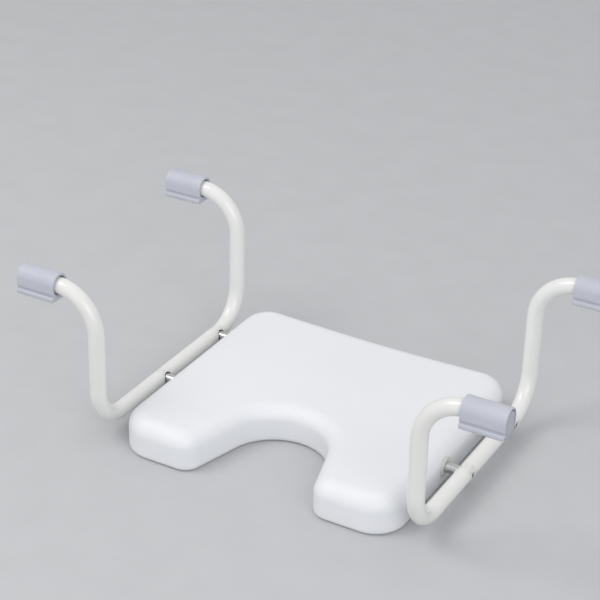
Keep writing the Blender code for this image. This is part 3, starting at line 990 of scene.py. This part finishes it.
@dataclass
class Hanger:
    """One bent-tube hanger with its slide rods and their screws."""

    side: Side
    radius: float = 12.5 * MM
    wall: float = 1.5 * MM
    top_bend: float = 66 * MM
    low_bend: float = 60 * MM
    rod_radius: float = 8 * MM
    rod_hole: float = 9.6 * MM
    rod_hole_start: float = 22 * MM
    rod_hole_depth: float = 20 * MM
    thread: float = 3.1 * MM
    thread_depth: float = 15 * MM
    screw_head: float = 4.9 * MM
    screw_shank: float = 3 * MM
    screw_play: float = 0.25 * MM
    screw_hole_start: float = 4 * MM
    screw_hole_end: float = 16 * MM
    socket_radius: float = 2.3 * MM
    socket_depth: float = 2.2 * MM
    sides: int = 48
    bend_steps: int = 26
    facet_loss: float = 0.2 * MM

    def __post_init__(self) -> None:
        """Read the tube's reach from the frame."""
        self.body = f"{self.side.word}_hanger"
        self.node = f"hanger_frame_{self.side.word}"
        low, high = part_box(self.node)
        inner, self.end_x = reach(self.node)
        self.riser_x = round(inner + self.radius, 3)
        self.riser_y = round(high.y - self.radius, 3)
        self.low_z = round(low.z + self.radius, 3)
        self.top_z = round(high.z - self.radius + self.facet_loss, 3)

    def path(self) -> list[Vector]:
        """Draw the tube's centre line, front stub to back stub.

        Returns:
            Points in metres.
        """
        sign = self.side.value
        half = [Vector((sign * self.end_x, -self.riser_y, self.top_z))]
        centre = (self.riser_x + self.top_bend, self.top_z - self.top_bend)
        for a in np.linspace(math.pi / 2, math.pi, self.bend_steps):
            half.append(Vector((sign * (centre[0] + self.top_bend * math.cos(a)), -self.riser_y,
                                centre[1] + self.top_bend * math.sin(a))))
        centre = (-self.riser_y + self.low_bend, self.low_z + self.low_bend)
        for a in np.linspace(math.pi, 1.5 * math.pi, self.bend_steps):
            half.append(Vector((sign * self.riser_x, centre[0] + self.low_bend * math.cos(a),
                                centre[1] + self.low_bend * math.sin(a))))
        return half + [Vector((p.x, -p.y, p.z)) for p in reversed(half)]

    def tube(self) -> None:
        """Build the bent tube with its rod and screw holes."""
        path = self.path()
        tree = sweep_tree()
        tube = tree.run(f"hanger_tube_{self.side.word}", path, path=True, Radius=self.radius,
                        Sides=self.sides)
        past = self.side.out * 2 * MM
        hollow = [path[0] + past] + path + [path[-1] + past]
        tools = [tree.run("tube_hollow", hollow, path=True, Radius=self.radius - self.wall,
                          Sides=self.sides)]
        for end in End:
            y = middle(f"slide_rod_{self.side.word}_{end.word}").y
            start = Vector((self.side.value * (self.riser_x - self.rod_hole_start), y, self.low_z))
            tools.append(drum("rod_hole", self.rod_hole, self.rod_hole_depth, start, self.side.out))
            tools.append(self.screw_hole(end))
        cut(tube, tools)
        hand_in(tube, 30, self.body, WHITE_EPOXY, [self.node])

    def rod(self, end: End) -> None:
        """Build the slide rod of one end, chamfered and tapped.

        Args:
            end: which rod.
        """
        tag = f"{self.side.word}_{end.word}"
        node = f"slide_rod_{tag}"
        inner, outer = reach(node)
        bottom = outer - self.thread_depth
        rows = [(0, inner), (self.rod_radius, inner), (self.rod_radius, outer), (self.thread, outer),
                (self.thread, bottom), (0, bottom)]
        rows = rounded(rows, [0, 1 * MM, 0.8 * MM, 0.4 * MM, 0, 0], 3)
        origin = Vector((0, middle(node).y, self.low_z))
        rod = lathe(f"rod_{tag}", rows, origin, self.side.out, 64)
        hand_in(rod, 40, self.body, ROD_CHROME, [node])

    def screws(self) -> None:
        """Build the two countersunk screws that hold the rods, with hexagon sockets."""
        nodes = [f"rod_screw_{self.side.word}_{end.word}" for end in End]
        tip, face = reach(nodes[0])
        head, shank = self.screw_head, self.screw_shank
        rows = [(0, face), (head - 0.3 * MM, face), (head, face - 0.15 * MM),
                (head, face - 0.35 * MM), (shank, face - head + shank), (shank, tip + 0.6 * MM),
                (shank - 0.6 * MM, tip), (0, tip)]
        pattern = lathe("screw_pattern", rows, Vector(), self.side.out)
        cut(pattern, [drum("hexagon", self.socket_radius, self.socket_depth + 1 * MM,
                           self.side.out * (face - self.socket_depth), self.side.out, 6)])
        places = [Vector((0, middle(node).y, self.low_z)) for node in nodes]
        screws = repeat(f"rod_screws_{self.side.word}", pattern, places, SCREW_STEEL)
        hand_in(screws, 32, self.body, SCREW_STEEL, nodes)

    def screw_hole(self, end: End) -> bpy.types.Object:
        """Make the cutter for a screw's countersunk hole through the rail's outer wall.

        Args:
            end: which rod's screw.

        Returns:
            The cutter.
        """
        node = f"rod_screw_{self.side.word}_{end.word}"
        cone = reach(node)[1] - self.screw_head + self.screw_shank
        bore = self.screw_shank + self.screw_play
        top, bottom = self.riser_x + self.screw_hole_end, self.riser_x + self.screw_hole_start
        rows = [(0, top), (bore + top - cone, top), (bore, cone), (bore, bottom), (0, bottom)]
        return lathe("screw_hole", rows, Vector((0, middle(node).y, self.low_z)), self.side.out, 64)


@dataclass
class RimGrip:
    """The soft grip that wraps a tube end and rests on the bath rim."""

    side: Side
    end: End
    half_width: float = 17.5 * MM
    arch_rise: float = 1.5 * MM
    lip_half: float = 20 * MM
    lip_top: float = -13.6 * MM
    base: float = -22.5 * MM
    lip_end: float = 3 * MM
    crease: float = 2 * MM
    foot_relief: float = 0.7 * MM
    edge: float = 1.2 * MM
    rim: float = 1.3 * MM
    recess: float = 2.4 * MM
    joint: float = 2 * MM
    mouth: float = 14.9 * MM
    mouth_edge: float = 0.9 * MM
    bore: float = 12.85 * MM
    bore_depth: float = 61.9 * MM
    rib_pitch: float = 5 * MM
    rib_radius: float = 1.2 * MM

    def __post_init__(self) -> None:
        """Read the grip's place from the frame."""
        self.tag = f"{self.side.word}_{self.end.word}"
        self.body = f"{self.side.word}_hanger"
        self.node = f"rim_grip_{self.tag}"
        self.inner, self.outer = reach(self.node)
        low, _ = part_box(self.node)
        self.axis = Vector((0, middle(self.node).y, low.z - self.base))

    def section(self, inset: float, lip_inset: float) -> list[tuple[float, float]]:
        """Return the grip's section, shrunk by an inset.

        Args:
            inset: how far the arch moves in.
            lip_inset: how far the lip moves in.

        Returns:
            Points across and up from the tube axis, anticlockwise.
        """
        width = self.half_width - inset
        waist = width - self.crease
        lip = max(self.lip_half - lip_inset, waist + 0.3 * MM)
        foot = self.base + self.foot_relief + 0.5 * inset
        shelf = self.lip_top - 0.25 * lip_inset
        corners = [(0, foot), (lip, foot), (lip, shelf), (waist, shelf), (waist, shelf + 0.5 * MM),
                   (width, shelf + 5 * MM), (width, self.arch_rise)]
        radii = [0, 3.4 * MM, 3.8 * MM, 0.15 * MM, 0.3 * MM, 4 * MM, 0]
        half = rounded(corners, radii, 6)
        arch = [(width * math.cos(a), self.arch_rise + width * math.sin(a))
                for a in np.linspace(0, math.pi, 37)]
        return half[:-1] + arch + [(-y, z) for y, z in reversed(half[1:-1])]

    def lip_inset(self, distance: float, inset: float) -> float:
        """Return how far the lip is drawn in near an end, so that its ends are round.

        Args:
            distance: distance from the nearer end.
            inset: how far the arch is drawn in there.

        Returns:
            The lip's inset.
        """
        run = max(0.0, self.lip_end - distance)
        return max(inset, self.lip_end - math.sqrt(max(0.0, self.lip_end ** 2 - run ** 2)))

    def loft(self, name: str, stations: Sequence[tuple[float, float]]) -> bpy.types.Object:
        """Loft the section through stations along the grip.

        Args:
            name: piece name.
            stations: distance from the middle of the bath and inset of each section.

        Returns:
            The closed solid.
        """
        places: list = []
        for x, inset in stations:
            ring = self.section(inset, self.lip_inset(min(x - self.inner, self.outer - x), inset))
            places += [(self.side.value * x, self.axis.y + y, self.axis.z + z) for y, z in ring]
        total, count = len(places), len(places) // len(stations)
        ends = [tuple(range(count)), tuple(range(total - count, total))]
        return new_mesh(name, places, bands(len(stations), count) + ends)

    def grip(self) -> None:
        """Build the grip with its open mouth and sunk outer end."""
        arc = [(self.edge * (1 - math.cos(a)), self.edge * (1 - math.sin(a)))
               for a in np.linspace(0, math.pi / 2, 5)]
        bead = arc + [(d * MM, 0.0) for d in (1.7, 2.3, 3.0)]
        land, floor = self.edge + self.rim, self.outer - self.recess
        stations = [(self.inner, self.edge + 0.6 * MM)]
        stations += [(self.inner + d, inset) for d, inset in bead]
        stations += [(self.outer - d, inset) for d, inset in reversed(bead)]
        stations += [(self.outer, self.edge + 0.2 * MM), (self.outer, land - 0.3 * MM),
                     (self.outer - 0.3 * MM, land), (floor, land), (floor, land + 0.5 * MM)]
        grip = self.loft(f"grip_{self.tag}", stations)
        mouth, soft = self.mouth, self.mouth_edge
        rows = [(0, -3 * MM), (mouth + soft, -3 * MM), (mouth + soft, 0),
                (mouth + soft * 0.3, soft * 0.3), (mouth, soft), (mouth, 8 * MM),
                (self.bore, 10 * MM), (self.bore, self.bore_depth), (0, self.bore_depth)]
        start = self.axis + self.side.out * self.inner
        cut(grip, [lathe("grip_bore", rows, start, self.side.out, 64)])
        hand_in(grip, 38, self.body, GRIP_GREY, [self.node])

    def panel(self) -> None:
        """Build the speckled panel in the outer end, and a near-black plate behind it that paints
        the shade in the gap round the panel.
        """
        land, step = self.edge + self.rim + 0.1 * MM, self.outer - 0.9 * MM
        # The first plate is near-black painted shade that shows in the gap round the panel.
        self.end_plate("grip_seal", self.outer - self.recess + 0.02 * MM, step, land, GAP_SHADE_GREY)
        self.end_plate("grip_end", step - 0.1 * MM, self.outer - 0.4 * MM, land + self.joint,
                       PANEL_GREY)

    def end_plate(self, name: str, back: float, face: float, inset: float, finish: Finish) -> None:
        """Build a plate in the outer end, of the grip's own outline.

        Args:
            name: what it is.
            back: distance of its back from the middle of the bath.
            face: distance of its face.
            inset: how far its outline lies inside the grip's.
            finish: its finish.
        """
        stations = [(back, inset), (face - 0.2 * MM, inset), (face, inset + 0.2 * MM),
                    (face, inset + 0.5 * MM)]
        plate = self.loft(f"{name}_{self.tag}", stations)
        hand_in(plate, 38, self.body, finish)

    def rib_places(self) -> list[Vector]:
        """Space the ribs evenly under the foot.

        Returns:
            The middle of each rib.
        """
        count = int((self.outer - self.inner - 8 * MM) / self.rib_pitch)
        start = (self.inner + self.outer) / 2 - (count - 1) / 2 * self.rib_pitch
        z = self.axis.z + self.base + self.rib_radius
        return [Vector((self.side.value * (start + k * self.rib_pitch), self.axis.y, z))
                for k in range(count)]


def foot_ribs(grips: Sequence[RimGrip]) -> None:
    """Build the ribs under the feet of one hanger's grips.

    Args:
        grips: the grips.
    """
    first = grips[0]
    places = [place for grip in grips for place in grip.rib_places()]
    ribs = bars_tree().run(f"grip_foot_ribs_{first.side.word}", places, GRIP_GREY,
                           Length=2 * (first.lip_half - first.lip_end), Radius=first.rib_radius)
    hand_in(ribs, 50, first.body, GRIP_GREY)


@dataclass
class Clamp:
    """One of the lobed knobs under the seat that lock a slide rod."""

    side: Side
    end: End
    radius: float = 15 * MM
    lobe: float = 1.3 * MM
    lobes: int = 8
    head: float = 8 * MM
    stem: float = 4 * MM

    # Millimetres: the dished face as radius and height; the rim and the brow above it as inset
    # from the radius, height from the foot or drop from the head, and share of the lobes.
    DISH = ((0, 1.6), (5.6, 1.6), (6.6, 1.3), (7.6, 0.2), (8.2, 0))
    RIM = ((3.4, 0, 0.5), (1.9, 0.3, 0.8), (0.8, 0.9, 0.95), (0.2, 1.8, 1), (0, 2.8, 1))
    BROW = ((0, 1.4, 1), (0.5, 0.5, 1), (1.4, 0, 0.9))

    def knob(self) -> None:
        """Build the knob with its dished face and stem."""
        tag = f"{self.side.word}_{self.end.word}"
        low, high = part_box(f"clamp_knob_{tag}")
        head, tip = low.z + self.head, high.z
        rows: list = [(r * MM, low.z + z * MM) for r, z in self.DISH]
        rows += [(self.radius - r * MM, low.z + z * MM, self.lobe * share)
                 for r, z, share in self.RIM]
        rows += [(self.radius - r * MM, head - z * MM, self.lobe * share)
                 for r, z, share in self.BROW]
        rows += [(self.stem, head), (self.stem, tip - 0.6 * MM), (self.stem - 0.6 * MM, tip),
                 (0, tip)]
        axis = middle(f"clamp_knob_{tag}") * Vector((1, 1, 0))
        knob = lathe(f"knob_{tag}", rows, axis, UP, 128, self.lobes)
        hand_in(knob, 42, f"knob_{tag}", KNOB_GREY, [f"clamp_knob_{tag}"])


# Turned profiles of the holes under the seat, radius and height in millimetres.
SCREW_HOLE = ((0, -5), (4.9, -5), (4.9, 0), (4.4, 0.5), (4.4, 1.6), (2.4, 1.6), (2.4, 10), (0, 10))
DRAIN_HOLE = ((0, -5), (3.8, -5), (3.8, 0), (3, 0.8), (3, 10), (0, 10))


def in_metres(rows: Sequence[tuple[float, float]]) -> list[tuple[float, float]]:
    """Return a profile given in millimetres, in metres."""
    return [(radius * MM, height * MM) for radius, height in rows]


def drill(rows: Sequence[tuple], places: Sequence[Vector], sides: int = 32) -> bpy.types.Object:
    """Return copies of an upright turned cutter at several places, as one cutter."""
    return repeat("drill", lathe("drill_pattern", rows, Vector(), UP, sides), places)


@dataclass
class Underside:
    """The plate under the seat, with its clamp wells, pockets, screws and drains."""

    seat: Seat
    gap: float = 0.3 * MM
    plate: float = 4 * MM
    well: float = 20.5 * MM
    well_wall: float = 3.5 * MM
    well_ceiling: float = 12 * MM
    well_edge: float = 1.2 * MM
    insert_hole: float = 7.3 * MM
    insert_seat: float = 9.3 * MM
    pocket: float = 19 * MM
    pitch: float = 24 * MM
    pocket_depth: float = 1.3 * MM
    pocket_corner: float = 3 * MM
    pocket_shift: float = 3 * MM
    pocket_rows: int = 9
    edge_margin: float = 4 * MM
    well_margin: float = 5 * MM
    screw_margin: float = 7 * MM
    drain_margin: float = 6 * MM
    cutter: float = 6 * MM

    def __post_init__(self) -> None:
        """Find the wells and the screws in the frame."""
        plan = Vector((1, 1, 0))
        self.wells = [middle(f"thread_insert_{tag}") * plan for tag in TAGS]
        self.screws = [f"base_screw_{k}" for k in range(1, 9)]
        self.screw_places = [middle(node) * plan for node in self.screws]
        self.drains = [Vector((side.value * x * MM, y * MM, 0))
                       for x, y in ((60, 90), (110, -85)) for side in Side]
        self.cup_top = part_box("seat_base")[1].z

    def pocket_places(self, plan: np.ndarray) -> list[Vector]:
        """Return the centres of the shallow pockets that leave a grid of ribs.

        Args:
            plan: outline of the plate, rows of x and y.

        Returns:
            The centres, clear of the wells, screws, drains and edge.
        """
        found = []
        keep = [(p, self.well + self.well_margin) for p in self.wells]
        keep += [(p, self.screw_margin) for p in self.screw_places]
        keep += [(p, self.drain_margin) for p in self.drains]
        half = self.pocket / 2
        cells = range(-self.pocket_rows, self.pocket_rows + 1)
        for row in cells:
            for column in cells:
                x, y = column * self.pitch, row * self.pitch + self.pocket_shift
                corners = [(x + i * half, y + j * half) for i in (-1, 0, 1) for j in (-1, 0, 1)]
                if not all(self.seat.holds(plan, *corner, self.edge_margin) for corner in corners):
                    continue
                gaps = [math.hypot(max(0, abs(x - p.x) - half), max(0, abs(y - p.y) - half)) - r
                        for p, r in keep]
                if min(gaps) > 0:
                    found.append(Vector((x, y, self.pocket_depth - self.cutter)))
        return found

    def well_rows(self) -> list[tuple[float, float]]:
        """Draw a clamp well, with the holes for the knob's stem and the thread insert.

        Returns:
            The turned profile of its cutter.
        """
        edge, soft, step = self.well, self.well_edge, self.cup_top - 2 * MM
        wall = [(edge, soft), (edge, self.well_ceiling), (self.insert_hole, self.well_ceiling)]
        below, past = -5 * MM, 30 * MM
        return [(0, below), (edge + soft, below), (edge + soft, 0), (edge + soft * 0.3, soft * 0.3),
                *rounded(wall, [0, 1.5 * MM, 0]), (self.insert_hole, step),
                (self.insert_seat, step), (self.insert_seat, past), (0, past)]

    def base(self) -> None:
        """Build the plate."""
        out = self.seat.rounding - self.seat.foot_lip - self.gap
        plan = self.seat.outline()
        count = len(plan)
        rows = [(out - 0.5 * MM, 0.0), (out - 0.15 * MM, 0.15 * MM), (out, 0.5 * MM),
                (out, self.plate)]
        places = [(x + nx * o, y + ny * o, z) for o, z in rows for x, y, nx, ny in plan]
        ends = [tuple(range(count)), tuple(range(3 * count, 4 * count))]
        base = new_mesh("underside_plate", places, bands(len(rows), count) + ends)
        cup = self.well + self.well_wall
        cup_rows = rounded([(0, 2 * MM), (cup, 2 * MM), (cup, self.cup_top), (0, self.cup_top)],
                           [0, 0, 1.5 * MM, 0])
        cut(base, [drill(cup_rows, self.wells, 72)], 'UNION')
        ring = np.array([(x + nx * out, y + ny * out) for x, y, nx, ny in plan])
        pockets = pockets_tree().run("pockets", self.pocket_places(ring), Size=self.pocket,
                                     Corner=self.pocket_corner, Depth=self.cutter)
        cut(base, [drill(self.well_rows(), self.wells, 72),
                   drill(in_metres(SCREW_HOLE), self.screw_places),
                   drill(in_metres(DRAIN_HOLE), self.drains), pockets])
        hand_in(base, 30, "seat", UNDERSIDE_GREY, ["seat_base"])

    def screw_set(self) -> None:
        """Build the cross-recessed screws that hold the plate."""
        face, crown, top = 0.4 * MM, 1.1 * MM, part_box(self.screws[0])[1].z
        head = [(3.9 * MM * math.sin(a), crown - (crown - face) * math.cos(a))
                for a in np.linspace(0, math.pi / 2, 7)]
        flange = crown + 0.2 * MM
        rows = head + [(4 * MM, flange), (1.8 * MM, flange), (1.8 * MM, top - 1.5 * MM), (0, top)]
        pattern = lathe("screw_pattern", rows, Vector(), UP, 36)
        tools = []
        for wide, deep in ((2.1 * MM, 0.5 * MM), (0.5 * MM, 2.1 * MM)):
            block = [(sx * wide, sy * deep, z) for z in (-1 * MM, 1.2 * MM)
                     for sx, sy in ((-1, -1), (1, -1), (1, 1), (-1, 1))]
            tools.append(new_mesh("cross", block, [(0, 1, 2, 3), (4, 5, 6, 7)] + bands(2, 4)))
        cut(pattern, tools)
        screws = repeat("plate_screws", pattern, self.screw_places, SCREW_STEEL)
        hand_in(screws, 32, "seat", SCREW_STEEL, self.screws)


@dataclass
class Bush:
    """The flanged bush in the seat's side that carries one slide rod."""

    side: Side
    end: End
    bore: float = 8.1 * MM
    barrel: float = 12 * MM
    flange: float = 15 * MM
    flange_depth: float = 2 * MM

    def build(self) -> None:
        """Build the bush, its corners rounded."""
        tag = f"{self.side.word}_{self.end.word}"
        node = f"guide_bush_{tag}"
        start, outer = reach(node)
        face = outer - self.flange_depth
        rows = [(self.bore, start), (self.barrel, start), (self.barrel, face), (self.flange, face),
                (self.flange, outer), (self.bore, outer), (self.bore, start)]
        rows = rounded(rows, [0, 0.5 * MM, 0, 0.3 * MM, 0.9 * MM, 0.8 * MM, 0])
        axis = middle(node) * Vector((0, 1, 1))
        bush = lathe(f"bush_{tag}", rows, axis, self.side.out, 64)
        hand_in(bush, 40, "seat", NYLON_NATURAL, [node])


# --------------------------------------------------- plain pieces and studio


def dress(nodes: Sequence[str], finish: Finish) -> None:
    """Put a finish on CAD nodes that stay as they are.

    Args:
        nodes: node names.
        finish: their finish.
    """
    for name in nodes:
        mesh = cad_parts[name].data
        mesh.materials.clear()
        mesh.materials.append(finish.material)
        log.info("%s keeps its CAD shape", name)


def add_floor() -> None:
    """Add the plain pale floor the seat stands on."""
    corners = [(-8, -8, 0), (8, -8, 0), (8, 8, 0), (-8, 8, 0)]
    floor = new_mesh("studio_floor", corners, [(0, 1, 2, 3)], False)
    floor.data.materials.append(FLOOR_GREY.material)


@dataclass(frozen=True)
class Lamp:
    """A soft square lamp that faces the seat."""

    name: str
    place: Vector
    size: float
    power: float
    colour: Colour
    target: Vector = Vector((0, 0, 0.1))

    def add(self) -> None:
        """Hang the lamp."""
        light = bpy.data.lights.new(self.name, 'AREA')
        light.shape = 'SQUARE'
        light.size = self.size
        light.energy = self.power
        light.color = self.colour
        thing = bpy.data.objects.new(self.name, light)
        thing.location = self.place
        thing.rotation_euler = (self.target - self.place).to_track_quat('-Z', 'Y').to_euler()
        bpy.context.scene.collection.objects.link(thing)


@dataclass(frozen=True)
class Studio:
    """Soft light from the camera's left, a pale surround, and the camera."""

    key: Lamp = Lamp("key", Vector((-1.8, -1.3, 3.0)), 1.8, 39, (1.0, 0.99, 0.97))
    fill: Lamp = Lamp("fill", Vector((2.4, -2.4, 1.8)), 2.4, 38, (0.97, 0.98, 1.0))
    surround: Colour = (0.97, 0.98, 1.0)
    glow: float = 0.74
    eye: tuple[float, float, float] = (1.080, -2.0356, 1.4634)
    right: tuple[float, float, float] = (0.87126, 0.49031, 0.02244)
    up: tuple[float, float, float] = (-0.24947, 0.40299, 0.88055)
    focal_length: float = 107.57

    def add_lights(self) -> None:
        """Add both lamps and the surround, and show colours as they are."""
        self.key.add()
        self.fill.add()
        world = bpy.data.worlds.new("surround")
        world.use_nodes = True
        graph = Graph(world.node_tree)
        glow = graph.node("ShaderNodeBackground", None,
                          {"Color": (*self.surround, 1.0), "Strength": self.glow})
        graph.node("ShaderNodeOutputWorld", None, {"Surface": glow})
        bpy.context.scene.world = world
        bpy.context.scene.view_settings.view_transform = 'Standard'

    def add_camera(self) -> None:
        """Add the camera, to the right of and above the open front of the seat."""
        lens = bpy.data.cameras.new("camera")
        lens.sensor_width = 36.0
        lens.lens = self.focal_length
        lens.clip_end = 50.0
        camera = bpy.data.objects.new("camera", lens)
        right, up = Vector(self.right), Vector(self.up)
        turn = Matrix((right, up, right.cross(up))).transposed().to_4x4()
        camera.matrix_world = Matrix.Translation(self.eye) @ turn
        bpy.context.scene.collection.objects.link(camera)
        bpy.context.scene.camera = camera


def main() -> None:
    """Build and dress every sub-assembly, then the studio around them."""
    logging.basicConfig(level=logging.INFO, format="%(name)s: %(message)s")
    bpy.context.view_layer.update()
    studio = Studio()
    studio.add_camera()
    seat = Seat()
    seat.shell()
    underside = Underside(seat)
    underside.base()
    underside.screw_set()
    for side in Side:
        hanger = Hanger(side)
        hanger.tube()
        hanger.screws()
        grips = [RimGrip(side, end) for end in End]
        for grip in grips:
            hanger.rod(grip.end)
            Bush(side, grip.end).build()
            grip.grip()
            grip.panel()
            Clamp(side, grip.end).knob()
        foot_ribs(grips)
    dress([f"guide_tube_{end.word}" for end in End], GUIDE_STEEL)
    dress([f"thread_insert_{tag}" for tag in TAGS], INSERT_BRASS)
    dress([f"{piece}_{tag}" for piece in ("clamp_pad", "saddle_washer") for tag in TAGS],
          NYLON_NATURAL)
    dress([f"tube_plug_{tag}" for tag in TAGS], KNOB_GREY)
    add_floor()
    studio.add_lights()


if __name__ == "__main__":
    main()
